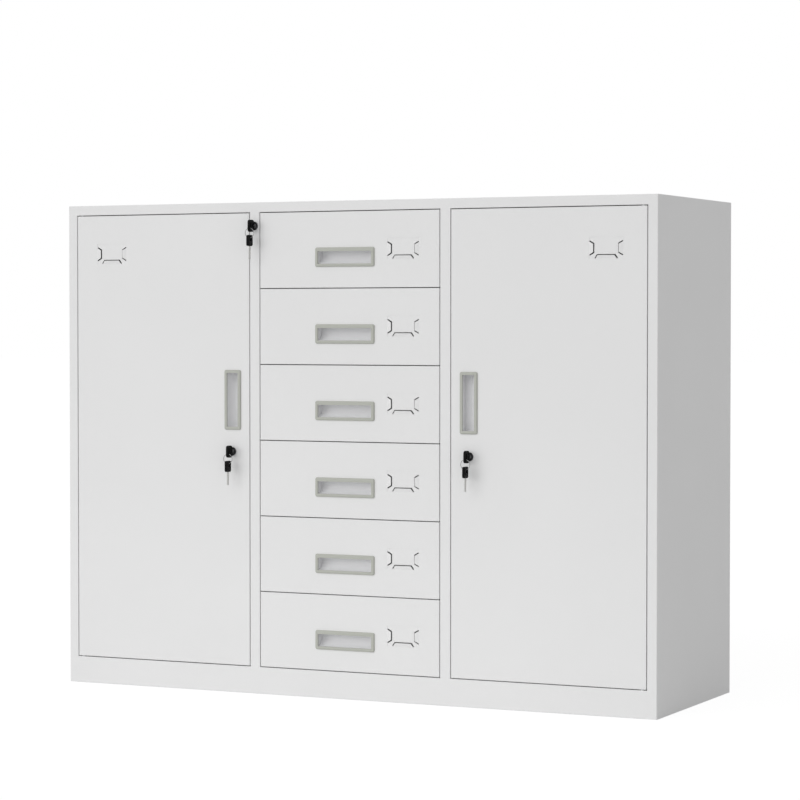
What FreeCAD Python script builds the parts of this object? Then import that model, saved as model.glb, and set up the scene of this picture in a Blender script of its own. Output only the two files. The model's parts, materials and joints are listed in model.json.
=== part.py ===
import FreeCAD, Part
import math
import os

# Low steel cabinet: a hinged door, six drawers and a second hinged door in one flush frame.
# X runs across the front, Y from front to back and Z up. The origin is on the floor, at the
# middle of the case. All sizes are in millimetres.

Vector = FreeCAD.Vector

# Overall size of the case
width = 1180.0
depth = 390.0
height = 900.0

# Sheet steel
sheet = 0.8
fold_radius = 1.0
weld_overlap = 12.0

# Front frame
stile_face = 18.0
top_rail_face = 18.0
plinth_height = 49.0
frame_box_depth = 25.0
pillar_box_depth = 42.5
frame_lip = 8.0
front_gap = 1.5
case_flange = 15.0
floor_flange = 16.0
floor_channel_width = 60.0
floor_channel_flange = 16.0
seam_clearance = 1.0

# Doors and drawer fronts: folded pans with a lip round the back
leaf_depth = 20.0
door_lip = 15.0
drawer_lip = 22.0
drawer_front_width = 360.0
drawer_count = 6

# Door hinges: pins hidden in the frame
hinge_inset = 8.5
hinge_setback = 5.0
pin_radius = 2.5
pin_clearance = 0.05
pin_reach = 8.0
pin_head_radius = 3.8
pin_head_thickness = 2.0
collar_clearance = 0.1
hinge_plate_length = 22.0
hinge_plate_thickness = 3.0

# Door stiffener
stiffener_width = 50.0
stiffener_from_edge = 90.0
stiffener_flange = 12.0
stiffener_height = 17.2

# Door stops and buffers
stop_width = 20.0
stop_length = 16.0
stop_from_edge = 30.0
buffer_radius = 4.5
buffer_clearance = 0.3

# Pulls
drawer_pull_length = 119.0
drawer_pull_width = 35.0
drawer_pull_x = -7.0
drawer_pull_drop = 13.3
door_pull_length = 110.0
door_pull_width = 34.0
door_pull_height = 538.7
door_pull_inset = 34.4
pull_rim = 5.6
drawer_pull_top_rim = 7.0
pull_proud = 3.0
pull_cup_depth = 16.0
pull_wall = 1.5
pull_lip_thickness = 2.0
pull_finger_hook = 2.0
pull_scoop_radius = 16.0
pull_corner_radius = 3.5
pull_edge_radius = 2.4
pull_fit = 0.4

# Card holders: a shallow field pressed in the front sheet, with three tabs lanced out round it
card_half_width = 31.5
card_field_depth = 0.45
side_tab_drop = 19.3
side_tab_reach = 8.0
side_tab_base = 23.0
side_tab_edge = 14.0
bottom_tab_drop = 31.5
bottom_tab_reach = 6.5
bottom_tab_base = 40.0
bottom_tab_edge = 31.0
tab_rise = 1.5
tab_slit = 1.5
drawer_card_x = 108.9
drawer_card_drop = 48.7
door_card_from_hinge = 75.0
door_card_drop = 52.2

# Drawer boxes
box_bottom_rise = 12.0
box_top_drop = 20.0
box_hem = 8.0
box_rear_clearance = 24.2

# Drawer runners: a fixed and a moving channel on each side
runner_width = 13.0
runner_steel = 1.2
runner_height = 36.0
runner_rise = 26.0
runner_gap = 0.4
runner_flange_reach = 10.5
runner_member_reach = 9.0
runner_front_setback = 22.5
runner_overlap = 80.0
runner_stop_length = 4.0
runner_stop_half_height = 6.0
runner_stop_gap = 0.5

# Locks
door_lock_height = 444.0
door_lock_inset = 35.5
gang_lock_drop = 43.0
gang_lock_shift = 1.1
lock_head_lip = 0.8
lock_head_proud = 2.3
lock_head_rounding = 0.7
lock_body_radius = 7.2
lock_length = 20.3
lock_hole_clearance = 0.1
lock_side_room = 2.7
plug_radius = 5.0
plug_clearance = 0.05
plug_recess = 0.2
plug_tail = 6.4
plug_tail_clearance = 0.05
plug_end_gap = 0.6
keyway_width = 2.3
keyway_height = 5.6
keyway_depth = 22.0
clip_groove_depth = 0.7
clip_groove_width = 1.4
clip_thickness = 1.2
clip_back = 9.0
clip_front = 7.0
clip_height = 20.0
clip_clearance = 0.05
cam_thickness = 2.0
cam_reach = 44.0
cam_width = 12.0
cam_heel = 8.0
cam_clearance = 0.1
cam_slot_below = 29.0
cam_slot_above = 9.0
cam_slot_clearance = 1.3
cam_screw_radius = 4.0
cam_screw_height = 2.4

# Gang lock: a crank pin lifts a toothed bar in the left pillar
crank_disc_radius = 7.4
crank_radius = 5.5
crank_pin_radius = 1.5
crank_start_angle = -45.0
crank_screw_radius = 3.6
bar_width = 15.0
bar_side_gap = 1.6
bar_thickness = 2.0
bar_setback = 29.5
bar_top_rise = 8.0
bar_tail = 20.0
bar_notch_clearance = 0.4
bar_notch_reach = 1.5
bar_pin_overlap = 1.5
bar_stop_gap = 0.3
tooth_height = 10.0
tooth_reach = 7.0
tooth_slot_clearance = 1.0
guide_thickness = 2.0
guide_clearance = 0.4
guide_rim = 5.0
catch_top_drop = 10.0
catch_height = 8.0
catch_thickness = 2.0
catch_foot = 15.0
catch_foot_thickness = 1.2
catch_reach = 9.0
catch_gap = 0.8
catch_tooth_gap = 1.0

# Keys and ring
bow_thickness = 5.2
bow_depth = 16.4
bow_corner_radius = 4.5
bow_edge_radius = 0.7
key_bow_height = 22.0
key_bow_gap = 2.1
key_slot_length = 11.9
key_slot_width = 3.4
key_blade_length = 21.5
spare_bow_height = 20.2
spare_bow_corner_radius = 2.8
spare_slot_length = 6.0
spare_slot_height = 3.5
spare_blade_length = 24.2
spare_bow_above_ring = 5.2
blade_thickness = 2.0
blade_width = 5.0
blade_tip_radius = 1.2
bit_depth = 1.1
bit_pitch = 3.0
bit_count = 5
ring_reach = 17.5
ring_radius = 8.8
ring_wire_radius = 0.75
ring_gap = 0.8

# Shelves, standards and clips
shelf_count = 2
shelf_height = 20.0
shelf_front_clearance = 3.0
shelf_back_clearance = 3.0
shelf_side_clearance = 0.5
standard_width = 20.0
standard_depth = 5.0
standard_from_front = 25.0
standard_from_back = 35.0
standard_bottom_gap = 11.0
standard_top_gap = 22.0
slot_pitch = 25.0
slot_height = 3.0
slot_width = 11.0
clip_tongue_width = 10.0
clip_tongue_thickness = 1.5
clip_tongue_reach = 12.0
clip_tongue_hold = 3.0
clip_leg = 12.0

# Back panel and its rivets
back_margin = 1.5
rivet_radius = 2.0
rivet_head_radius = 3.4
rivet_head_height = 1.2
rivet_tail_radius = 2.8
rivet_clearance = 0.05
rivet_rows = 5
rivet_columns = 5
rivet_end_margin = 60.0
rivet_column_margin = 110.0

# Places that follow from the sizes above
side_x = width / 2
front_y = -depth / 2
back_y = depth / 2
flange_y = back_y - sheet
opening_x = side_x - stile_face
drawer_bay_x = drawer_front_width / 2 + front_gap
pillar_for_bar = bar_width + 2 * (bar_side_gap + sheet)
pillar_for_lock = 2 * (lock_body_radius + lock_side_room)
pillar_face = max(pillar_for_bar, pillar_for_lock)
pillar_x = drawer_bay_x + pillar_face
pillar_mid_x = drawer_bay_x + pillar_face / 2
leaf_free_x = pillar_x + front_gap
leaf_hinge_x = opening_x - front_gap
opening_top = height - top_rail_face
leaf_bottom = plinth_height + front_gap
leaf_top = opening_top - front_gap
leaf_back_y = front_y + leaf_depth
frame_box_y = front_y + frame_box_depth
pillar_box_y = front_y + pillar_box_depth
hinge_x = leaf_hinge_x - hinge_inset
hinge_y = front_y + hinge_setback
door_pull_x = leaf_free_x + door_pull_inset
door_lock_x = leaf_free_x + door_lock_inset
stop_x = leaf_free_x + stop_from_edge
gang_lock_height = height - gang_lock_drop
lock_head_radius = lock_body_radius + lock_head_lip
gang_lock_x = pillar_mid_x + gang_lock_shift
drawer_front_height = (leaf_top - leaf_bottom - (drawer_count - 1) * front_gap) / drawer_count
drawer_pitch = drawer_front_height + front_gap
box_x = drawer_bay_x - runner_width
box_back_y = flange_y - box_rear_clearance
box_height = drawer_front_height - box_bottom_rise - box_top_drop
runner_front_y = front_y + runner_front_setback
runner_back_y = box_back_y
drawer_travel = runner_back_y - runner_front_y - runner_overlap
bar_y = front_y + bar_setback
bar_lift = 2 * crank_radius * math.sin(math.radians(-crank_start_angle))
shelf_front_y = pillar_box_y + shelf_front_clearance
shelf_back_y = flange_y - sheet - shelf_back_clearance
standard_bottom = plinth_height + standard_bottom_gap
standard_top = opening_top - standard_top_gap
lock_end_y = front_y + lock_length
cam_y = lock_end_y + plug_end_gap + cam_clearance
ring_top_drop = key_slot_length / 2 - ring_wire_radius - ring_gap
ring_bottom_drop = ring_top_drop + 2 * ring_radius

open_fold = [0, fold_radius, fold_radius, fold_radius, fold_radius, 0]
mirror_plane = Vector(1, 0, 0)


def block(x0, x1, y0, y1, z0, z1):
    """Box between two corners."""
    return Part.makeBox(x1 - x0, y1 - y0, z1 - z0, Vector(x0, y0, z0))


def rod(radius, start, end):
    """Round bar between two points."""
    return Part.makeCylinder(radius, (end - start).Length, start, end - start)


def mirrored(shape):
    """The same piece for the other side of the cabinet."""
    return shape.mirror(Vector(0, 0, 0), mirror_plane)


def joined(pieces):
    """One solid from pieces that are folded or welded into one."""
    return pieces[0].fuse(pieces[1:]).removeSplitter()


def rounded_corner(before, corner, after, radius):
    """Start, middle and end of the arc that rounds one corner of an outline."""
    to_before = (before - corner).normalize()
    to_after = (after - corner).normalize()
    half_angle = to_before.getAngle(to_after) / 2
    bisector = (to_before + to_after).normalize()
    setback = radius / math.tan(half_angle)
    centre = corner + bisector * (radius / math.sin(half_angle))
    return corner + to_before * setback, centre - bisector * radius, corner + to_after * setback


def outline_face(points, radii):
    """Flat face with these corners in order, each rounded by its own radius."""
    corners = []
    for index, (corner, radius) in enumerate(zip(points, radii)):
        following = points[(index + 1) % len(points)]
        if radius > 0:
            corners.append(rounded_corner(points[index - 1], corner, following, radius))
        else:
            corners.append((corner, None, corner))
    edges = []
    for index, (start, middle, end) in enumerate(corners):
        if middle is not None:
            edges.append(Part.Arc(start, middle, end).toShape())
        next_start = corners[(index + 1) % len(corners)][0]
        if (next_start - end).Length > 1e-6:
            edges.append(Part.LineSegment(end, next_start).toShape())
    return Part.Face(Part.Wire(edges))


def prism(axis, points, radii, start, end):
    """Outline carried along an axis. Points are (x, y) along Z, (y, z) along X, (x, z) along Y."""
    if axis == "X":
        corners = [Vector(start, a, b) for a, b in points]
        along = Vector(end - start, 0, 0)
    elif axis == "Y":
        corners = [Vector(a, start, b) for a, b in points]
        along = Vector(0, end - start, 0)
    else:
        corners = [Vector(a, b, start) for a, b in points]
        along = Vector(0, 0, end - start)
    return outline_face(corners, radii).extrude(along)


def unit(a, b):
    """Direction from one outline point to the next."""
    length = math.hypot(b[0] - a[0], b[1] - a[1])
    return (b[0] - a[0]) / length, (b[1] - a[1]) / length


def folded(axis, path, radii, start, end, thickness=sheet):
    """Folded sheet. The path follows one face, with the metal on its left."""
    directions = [unit(a, b) for a, b in zip(path, path[1:])]
    inner = []
    path_radii = []
    inner_radii = []
    for index, (a, b) in enumerate(path):
        before = directions[max(index - 1, 0)]
        after = directions[min(index, len(directions) - 1)]
        normal = (-before[1] - after[1], before[0] + after[0])
        share = thickness / (1 + before[0] * after[0] + before[1] * after[1])
        inner.append((a + normal[0] * share, b + normal[1] * share))
        turns_left = before[0] * after[1] - before[1] * after[0] >= 0
        tight = max(radii[index] - thickness, 0)
        path_radii.append(radii[index] if turns_left else tight)
        inner_radii.append(tight if turns_left else radii[index])
    points = path + inner[::-1]
    return prism(axis, points, path_radii + inner_radii[::-1], start, end)


def fold_radii(path):
    """Radius at each point of a folded path, none at its two ends."""
    return [0] + [fold_radius] * (len(path) - 2) + [0]


def folded_with_sharp_ends(axis, path, sharp_corner, spans):
    """Folded sheet whose one corner is sharp where a neighbour butts against it."""
    smooth = fold_radii(path)
    sharp = list(smooth)
    sharp[sharp_corner] = 0
    pieces = []
    for start, end, rounded in spans:
        pieces.append(folded(axis, path, smooth if rounded else sharp, start, end))
    return pieces


def fillet_where(shape, radius, chosen):
    """Round the edges that a test chooses."""
    return shape.makeFillet(radius, [edge for edge in shape.Edges if chosen(edge)])


def round_box(x0, x1, y0, y1, z0, z1, radius, chosen):
    """Box with chosen edges rounded."""
    return fillet_where(block(x0, x1, y0, y1, z0, z1), radius, chosen)


def rivet_heights():
    """Heights of the rivets down each side of the back panel."""
    step = (height - 2 * rivet_end_margin) / (rivet_rows - 1)
    return [rivet_end_margin + step * index for index in range(rivet_rows)]


def rivet_places():
    """Every rivet of the back panel as (x, z)."""
    edge_x = side_x - case_flange / 2
    middle_x = drawer_bay_x + case_flange / 2
    places = [(x, z) for x in (-edge_x, edge_x) for z in rivet_heights()]
    places += [(x, z) for x in (-middle_x, middle_x) for z in rivet_heights()[1:-1]]
    span = side_x - rivet_column_margin
    for index in range(rivet_columns):
        x = span * (2 * index / (rivet_columns - 1) - 1)
        places += [(x, height - case_flange / 2), (x, plinth_height / 2)]
    return places


def rivet_holes():
    """Round cutters for every rivet hole through the back panel and the flange it lies on."""
    radius = rivet_radius + rivet_clearance
    y0 = flange_y - 2 * sheet
    y1 = back_y + sheet
    return Part.makeCompound([rod(radius, Vector(x, y0, z), Vector(x, y1, z)) for x, z in rivet_places()])


def side_panel():
    """Left side: sheet, rear flange, top and floor flanges, and the stile as a folded box."""
    path = [
        (-side_x + case_flange, flange_y),
        (-side_x, flange_y),
        (-side_x, front_y),
        (-opening_x, front_y),
        (-opening_x, frame_box_y),
        (-opening_x - frame_lip, frame_box_y),
    ]
    top = height - sheet
    spans = [(0, plinth_height, False), (plinth_height, opening_top, True), (opening_top, top, False)]
    pieces = folded_with_sharp_ends("Z", path, 3, spans)
    flange_front = frame_box_y + seam_clearance
    flange_back = flange_y - sheet
    pieces.append(block(-side_x, -side_x + weld_overlap, flange_front, flange_back, top - sheet, top))
    pieces.append(block(-side_x, -side_x + floor_flange, flange_front, flange_back, 0, sheet))
    return joined(pieces).cut(rivet_holes())


def frame_spans():
    """Lengths of the rails along X, marked where the fold is open and where a pillar butts."""
    marks = [-opening_x, -pillar_x, -drawer_bay_x, drawer_bay_x, pillar_x, opening_x]
    return [(start, end, index % 2 == 0) for index, (start, end) in enumerate(zip(marks, marks[1:]))]


def door_stop(side, z0, z1):
    """Tab behind the leaf that carries a buffer."""
    x = side * stop_x
    return block(x - stop_width / 2, x + stop_width / 2, frame_box_y - sheet, frame_box_y, z0, z1)


def top_panel():
    """Top sheet with its rear flange and the top rail, a folded box along the front."""
    path = [
        (flange_y, height - case_flange),
        (flange_y, height),
        (front_y, height),
        (front_y, opening_top),
        (frame_box_y, opening_top),
        (frame_box_y, opening_top + frame_lip),
    ]
    pieces = folded_with_sharp_ends("X", path, 3, frame_spans())
    wing = [(-side_x, front_y), (-opening_x, front_y), (-opening_x, flange_y), (-side_x, flange_y)]
    left_wing = prism("Z", wing, [fold_radius, 0, 0, fold_radius], height - sheet, height)
    pieces += [left_wing, mirrored(left_wing)]
    pieces += [door_stop(side, opening_top - stop_length, opening_top + sheet) for side in (-1, 1)]
    return joined(pieces).cut(rivet_holes()).cut(hinge_pin_holes())


def plinth():
    """Folded strip under the doors and drawers, with a lip that carries the deck."""
    path = [
        (front_y + weld_overlap, plinth_height),
        (front_y, plinth_height),
        (front_y, 0),
        (front_y + weld_overlap, 0),
    ]
    return joined(folded_with_sharp_ends("X", path, 1, frame_spans())).cut(hinge_pin_holes())


def bottom_deck():
    """Deck behind the plinth, with a rear flange down to the floor."""
    path = [
        (flange_y - weld_overlap, 0),
        (flange_y, 0),
        (flange_y, plinth_height),
        (front_y + weld_overlap, plinth_height),
    ]
    plate = folded("X", path, fold_radii(path), -opening_x, opening_x)
    wing = block(
        -side_x + sheet,
        -opening_x,
        frame_box_y + seam_clearance,
        flange_y - fold_radius,
        plinth_height - sheet,
        plinth_height,
    )
    return joined([plate, wing, mirrored(wing)]).cut(rivet_holes())


def floor_channel():
    """Hat channel from front to back under the middle of the deck, standing on the floor."""
    half = floor_channel_width / 2
    tip = half + floor_channel_flange
    rise = plinth_height - 2 * sheet
    path = [(-tip, rise), (-half, rise), (-half, 0), (half, 0), (half, rise), (tip, rise)]
    reach = flange_y - weld_overlap - seam_clearance
    return folded("Y", path, fold_radii(path), -reach, reach)


def partition():
    """Left partition: sheet beside the drawers, rear flange and the pillar, an open folded box."""
    path = [
        (-pillar_x + frame_lip, pillar_box_y),
        (-pillar_x, pillar_box_y),
        (-pillar_x, front_y),
        (-drawer_bay_x, front_y),
        (-drawer_bay_x, flange_y),
        (-drawer_bay_x - case_flange, flange_y),
    ]
    top = height - sheet
    rear_top = height - case_flange - seam_clearance
    lower = folded("Z", path, open_fold, plinth_height, opening_top)
    upper = block(
        -drawer_bay_x - sheet,
        -drawer_bay_x,
        frame_box_y + seam_clearance,
        flange_y - 2 * sheet,
        opening_top,
        top,
    )
    above_flange = block(-pillar_x, -drawer_bay_x + sheet, flange_y - sheet, flange_y, rear_top, top)
    return joined([lower, upper]).cut(above_flange).cut(rivet_holes()).cut(cam_slot())


def cam_slot():
    """Slot in the door side of the left pillar for the cam of the door lock."""
    return block(
        -pillar_x - sheet,
        -pillar_x + 2 * sheet,
        cam_y - cam_slot_clearance,
        cam_y + cam_thickness + cam_slot_clearance,
        door_lock_height - cam_slot_below,
        door_lock_height + cam_slot_above,
    )


def bar_guide(z, through):
    """Plate across the pillar, with a window that the lock bar slides in or none where it stops."""
    x0 = -pillar_x + sheet
    x1 = -drawer_bay_x - sheet
    y0 = bar_y - guide_rim
    y1 = bar_y + bar_thickness + guide_rim
    plate = block(x0, x1, y0, y1, z - guide_thickness, z)
    if not through:
        return plate
    window = block(
        -pillar_mid_x - bar_width / 2 - guide_clearance,
        -pillar_mid_x + bar_width / 2 + guide_clearance,
        bar_y - guide_clearance,
        bar_y + bar_thickness + guide_clearance,
        z - 2 * guide_thickness,
        z + guide_thickness,
    )
    return plate.cut(window)


def left_partition():
    """Left partition with the gang lock hole, the bar guides and a slot for each bar tooth."""
    guides = [bar_guide(drawer_front_bottom(index), True) for index in (1, drawer_count - 2)]
    guides.append(bar_guide(bar_bottom() - bar_stop_gap, False))
    plate = joined([partition()] + guides)
    plate = plate.cut(lock_hole(Vector(-gang_lock_x, 0, gang_lock_height)))
    for index in range(drawer_count):
        z0 = tooth_top(index) - tooth_height - tooth_slot_clearance
        z1 = tooth_top(index) + bar_lift + tooth_slot_clearance
        y0 = bar_y - tooth_slot_clearance
        y1 = bar_y + bar_thickness + tooth_slot_clearance
        plate = plate.cut(block(-drawer_bay_x - 2 * sheet, -drawer_bay_x + sheet, y0, y1, z0, z1))
    return plate


def back_panel():
    """Flat sheet over the rear flanges."""
    half = side_x - back_margin
    return block(-half, half, flange_y, back_y, back_margin, height - back_margin).cut(rivet_holes())


def rivet(x, z):
    """Blind rivet through the back panel and the flange inside it."""
    inside = flange_y - sheet
    shank = rod(rivet_radius, Vector(x, inside - rivet_head_height, z), Vector(x, back_y, z))
    tail = rod(rivet_tail_radius, Vector(x, inside - rivet_head_height, z), Vector(x, inside, z))
    head = rod(rivet_head_radius, Vector(x, back_y, z), Vector(x, back_y + rivet_head_height, z))
    head = fillet_where(head, rivet_head_height * 0.8, lambda edge: edge.BoundBox.YMin > back_y + sheet / 2)
    return joined([shank, tail, head])


def hinge_pin_holes():
    """Cutters for the four hinge pins through the frame and the leaves."""
    radius = pin_radius + pin_clearance
    cutters = []
    for x in (-hinge_x, hinge_x):
        low = plinth_height - pin_head_thickness
        cutters.append(rod(radius, Vector(x, hinge_y, low), Vector(x, hinge_y, leaf_bottom + pin_reach)))
        high = opening_top + frame_lip
        cutters.append(rod(radius, Vector(x, hinge_y, leaf_top - pin_reach), Vector(x, hinge_y, high)))
    return Part.makeCompound(cutters)


def lower_hinge_pin(x):
    """Pin riveted in the deck, with a collar that the door stands on."""
    under = plinth_height - sheet
    shaft = rod(pin_radius, Vector(x, hinge_y, under), Vector(x, hinge_y, leaf_bottom + pin_reach - sheet))
    head = rod(pin_head_radius, Vector(x, hinge_y, under - pin_head_thickness), Vector(x, hinge_y, under))
    collar_top = leaf_bottom - collar_clearance
    collar = rod(pin_head_radius, Vector(x, hinge_y, plinth_height), Vector(x, hinge_y, collar_top))
    return joined([shaft, head, collar])


def upper_hinge_pin(x):
    """Pin that drops through the top rail into the door."""
    over = opening_top + sheet
    shaft = rod(pin_radius, Vector(x, hinge_y, leaf_top - pin_reach + sheet), Vector(x, hinge_y, over))
    head = rod(pin_head_radius, Vector(x, hinge_y, over), Vector(x, hinge_y, over + pin_head_thickness))
    return joined([shaft, head])


def pan(x0, x1, z0, z1, lip):
    """Folded pan, open at the back inside its lip."""
    y1 = leaf_back_y

    def front_or_corner(edge):
        box = edge.BoundBox
        at_front = box.YLength < 1e-3 and box.YMin < (front_y + y1) / 2
        return at_front or box.YLength > leaf_depth / 2

    outer = round_box(x0, x1, front_y, y1, z0, z1, fold_radius, front_or_corner)
    inner = round_box(
        x0 + sheet,
        x1 - sheet,
        front_y + sheet,
        y1 - sheet,
        z0 + sheet,
        z1 - sheet,
        fold_radius - sheet,
        front_or_corner,
    )
    window = block(x0 + lip, x1 - lip, y1 - 2 * sheet, y1 + sheet, z0 + lip, z1 - lip)
    return outer.cut(inner).cut(window)


def card_tab(base, edge, reach):
    """Tab and the hole it is lanced from. Its root runs along X at the origin, its edge is at +Z."""
    section = [
        (0, -sheet),
        (sheet, -sheet),
        (sheet, 0),
        (sheet - tab_rise, reach),
        (-tab_rise, reach),
        (0, 0),
    ]
    body = prism("X", section, [0] * len(section), -base / 2, base / 2)
    half = base / 2
    outline = [(-half, -sheet), (half, -sheet), (half, 0)]
    outline += [(edge / 2, reach), (-edge / 2, reach), (-half, 0)]
    tab = body.common(prism("Y", outline, [0] * len(outline), -2 * tab_rise, 2 * tab_rise))
    wide = half + tab_slit
    narrow = edge / 2 + tab_slit
    hole = [(-half, 0), (half, 0), (wide, tab_slit), (narrow, reach + tab_slit)]
    hole += [(-narrow, reach + tab_slit), (-wide, tab_slit)]
    return tab, prism("Y", hole, [0] * len(hole), -sheet, 2 * sheet)


def with_card_holder(front, x, z):
    """Front sheet with the tabs and the pressed field of a card holder, the field's top centred on (x, z)."""
    places = [
        (side_tab_base, side_tab_edge, side_tab_reach, 90, x - card_half_width, z - side_tab_drop),
        (side_tab_base, side_tab_edge, side_tab_reach, -90, x + card_half_width, z - side_tab_drop),
        (bottom_tab_base, bottom_tab_edge, bottom_tab_reach, 0, x, z - bottom_tab_drop - bottom_tab_reach),
    ]
    tabs = []
    for base, edge, reach, turn, tab_x, tab_z in places:
        tab, hole = card_tab(base, edge, reach)
        for shape in (tab, hole):
            shape.rotate(Vector(0, 0, 0), Vector(0, 1, 0), turn)
            shape.translate(Vector(tab_x, front_y, tab_z))
        front = front.cut(hole)
        tabs.append(tab)
    field = block(
        x - card_half_width,
        x + card_half_width,
        front_y - sheet,
        front_y + card_field_depth,
        z - bottom_tab_drop - bottom_tab_reach,
        z,
    )
    return joined([front.cut(field)] + tabs)


def rounded_plate(half_x, half_z, radius, y0, y1):
    """Plate across Y with rounded corners."""
    points = [(-half_x, -half_z), (half_x, -half_z), (half_x, half_z), (-half_x, half_z)]
    return prism("Y", points, [radius] * 4, y0, y1)


def pull_openings(pull_width, deep_rim):
    """How far the opening of a pull reaches below and above the pull's middle."""
    return pull_width / 2 - pull_rim, pull_width / 2 - deep_rim


def pull(length, pull_width, deep_rim):
    """Moulded pull: a proud rim round a scoop that is deep on its +Z side. The sheet is at y = 0."""
    rim = rounded_plate(length / 2, pull_width / 2, pull_corner_radius, -pull_proud, 0)
    rim = fillet_where(rim, pull_edge_radius, lambda edge: edge.BoundBox.YMax < -pull_proud + 1e-3)
    below, above = pull_openings(pull_width, deep_rim)
    hooked = above + pull_finger_hook
    half = length / 2 - pull_rim
    side = half + pull_wall
    cup = block(-side, side, 0, pull_cup_depth, -below - pull_wall, hooked + pull_wall)
    floor = pull_cup_depth - pull_wall
    hollow = [
        (-2 * pull_proud, -below),
        (floor, -below),
        (floor, hooked),
        (pull_lip_thickness, hooked),
        (pull_lip_thickness, above),
        (-2 * pull_proud, above),
    ]
    scoop = prism("X", hollow, [0, pull_scoop_radius, 0, 0, 0, 0], -half, half)
    return joined([rim, cup]).cut(scoop)


def pull_hole(length, pull_width, deep_rim):
    """Cutter for the cup of a pull through the front sheet."""
    below, above = pull_openings(pull_width, deep_rim)
    around = pull_wall + pull_fit
    half = length / 2 - pull_rim + around
    return block(-half, half, -sheet, 2 * sheet, -below - around, above + pull_finger_hook + around)


def drawer_pull():
    """Pull of a drawer, set level with its deep side up."""
    return pull(drawer_pull_length, drawer_pull_width, drawer_pull_top_rim)


def door_pull():
    """Pull of a door, before it is turned upright."""
    return pull(door_pull_length, door_pull_width, pull_rim)


def placed(shape, x, z, turn=0):
    """Front furniture moved to its place on the front face."""
    shape.rotate(Vector(0, 0, 0), Vector(0, 1, 0), turn)
    shape.translate(Vector(x, front_y, z))
    return shape


def lock_hole(centre):
    """Cutter for a lock through the front sheet."""
    start = Vector(centre.x, front_y - sheet, centre.z)
    return rod(lock_body_radius + lock_hole_clearance, start, start + Vector(0, 3 * sheet, 0))


def left_door_skin():
    """Left door: pan with hinge plates, lock hole, pull hole and card holder."""
    skin = pan(-leaf_hinge_x, -leaf_free_x, leaf_bottom, leaf_top, door_lip)
    x0 = -leaf_hinge_x + sheet / 2
    y0 = front_y + sheet / 2
    y1 = leaf_back_y - sheet / 2
    low = leaf_bottom + sheet / 2
    high = leaf_top - sheet / 2
    x1 = x0 + hinge_plate_length
    plates = [
        block(x0, x1, y0, y1, low, low + hinge_plate_thickness),
        block(x0, x1, y0, y1, high - hinge_plate_thickness, high),
    ]
    skin = joined([skin] + plates).cut(hinge_pin_holes())
    skin = skin.cut(lock_hole(Vector(-door_lock_x, 0, door_lock_height)))
    cutter = pull_hole(door_pull_length, door_pull_width, pull_rim)
    skin = skin.cut(placed(cutter, -door_pull_x, door_pull_height, 90))
    return with_card_holder(skin, -leaf_hinge_x + door_card_from_hinge, leaf_top - door_card_drop)


def left_door_stiffener():
    """Hat section down the door beside its lock, welded to the inside of the front."""
    middle = -leaf_free_x - stiffener_from_edge
    root = front_y + 2 * sheet
    crown = front_y + sheet + stiffener_height
    half = stiffener_width / 2
    path = [
        (middle + half + stiffener_flange, root),
        (middle + half, root),
        (middle + half, crown),
        (middle - half, crown),
        (middle - half, root),
        (middle - half - stiffener_flange, root),
    ]
    end_gap = sheet + seam_clearance
    return folded("Z", path, open_fold, leaf_bottom + end_gap, leaf_top - end_gap)


def door_buffer(x, z):
    """Rubber button between a door stop and the lip of the leaf."""
    start = Vector(x, leaf_back_y + buffer_clearance, z)
    return rod(buffer_radius, start, Vector(x, frame_box_y - sheet, z))


def drawer_front_bottom(index):
    """Lower edge of a drawer front, counted from 0 at the top."""
    return leaf_top - index * drawer_pitch - drawer_front_height


def drawer_front(index):
    """Drawer front: pan with a pull hole and a card holder."""
    half = drawer_front_width / 2
    bottom = drawer_front_bottom(index)
    top = bottom + drawer_front_height
    front = pan(-half, half, bottom, top, drawer_lip)
    pull_z = (bottom + top) / 2 - drawer_pull_drop
    cutter = pull_hole(drawer_pull_length, drawer_pull_width, drawer_pull_top_rim)
    front = front.cut(placed(cutter, drawer_pull_x, pull_z))
    return with_card_holder(front, drawer_card_x, top - drawer_card_drop)


def catch_bottom(index):
    """Lower edge of the catch on a drawer box."""
    return drawer_front_bottom(index) + box_bottom_rise + box_height - catch_top_drop - catch_height


def tooth_top(index):
    """Upper edge of a bar tooth while the drawers are unlocked."""
    return catch_bottom(index) - catch_tooth_gap


def drawer_box(index):
    """Open steel tray with a hem round its top."""
    y0 = leaf_back_y
    z0 = drawer_front_bottom(index) + box_bottom_rise
    z1 = z0 + box_height

    def upright_or_base(edge):
        box = edge.BoundBox
        return box.ZLength > box_height / 2 or (box.ZLength < 1e-3 and box.ZMin < (z0 + z1) / 2)

    outer = round_box(-box_x, box_x, y0, box_back_y, z0, z1, fold_radius, upright_or_base)
    inner = round_box(
        -box_x + sheet,
        box_x - sheet,
        y0 + sheet,
        box_back_y - sheet,
        z0 + sheet,
        z1 - sheet,
        fold_radius - sheet,
        upright_or_base,
    )
    mouth_x = box_x - box_hem
    mouth = block(-mouth_x, mouth_x, y0 + sheet, box_back_y - box_hem, z1 - 2 * sheet, z1 + sheet)
    return outer.cut(inner).cut(mouth)


def catch(index):
    """Bracket welded to the side of a drawer box, which the tooth of the lock bar holds back."""
    y0 = bar_y + bar_thickness + catch_gap
    low = catch_bottom(index)
    high = low + catch_height
    lug = block(-box_x - catch_reach, -box_x, y0, y0 + catch_thickness, low, high)
    foot = block(-box_x - catch_foot_thickness, -box_x, y0, y0 + catch_foot, low, high)
    return joined([lug, foot])


def runner_height_of(index):
    """Height of the middle of a drawer's runners."""
    return drawer_front_bottom(index) + box_bottom_rise + runner_rise


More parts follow.
